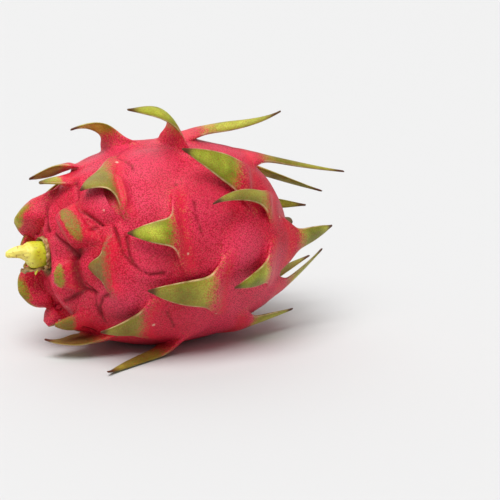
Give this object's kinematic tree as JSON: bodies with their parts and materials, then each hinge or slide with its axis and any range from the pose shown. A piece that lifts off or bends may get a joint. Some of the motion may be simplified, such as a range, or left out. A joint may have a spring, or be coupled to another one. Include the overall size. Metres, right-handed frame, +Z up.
{
  "type": "dragon fruit",
  "caption": "Whole dragon fruit lying on its side, with leafy scales, the stump of its stem and the dried remains of its flower.",
  "frame": {"origin": "middle of the flattened spot the fruit lies on, at the level of the surface", "axes": "+X from the stem end to the flower end, +Z up, -Y the side the fruit is mostly seen from"},
  "size_m": [0.1464, 0.0941, 0.0958],
  "materials": {
    "rind": "satin waxy fruit skin",
    "stem": "matt torn stem",
    "dry_flower": "matt dried flower"
  },
  "bodies": {
    "root": {"fruit": "rind", "stem_stub": "stem", "flower_remnant": "dry_flower"}
  },
  "joints": []
}
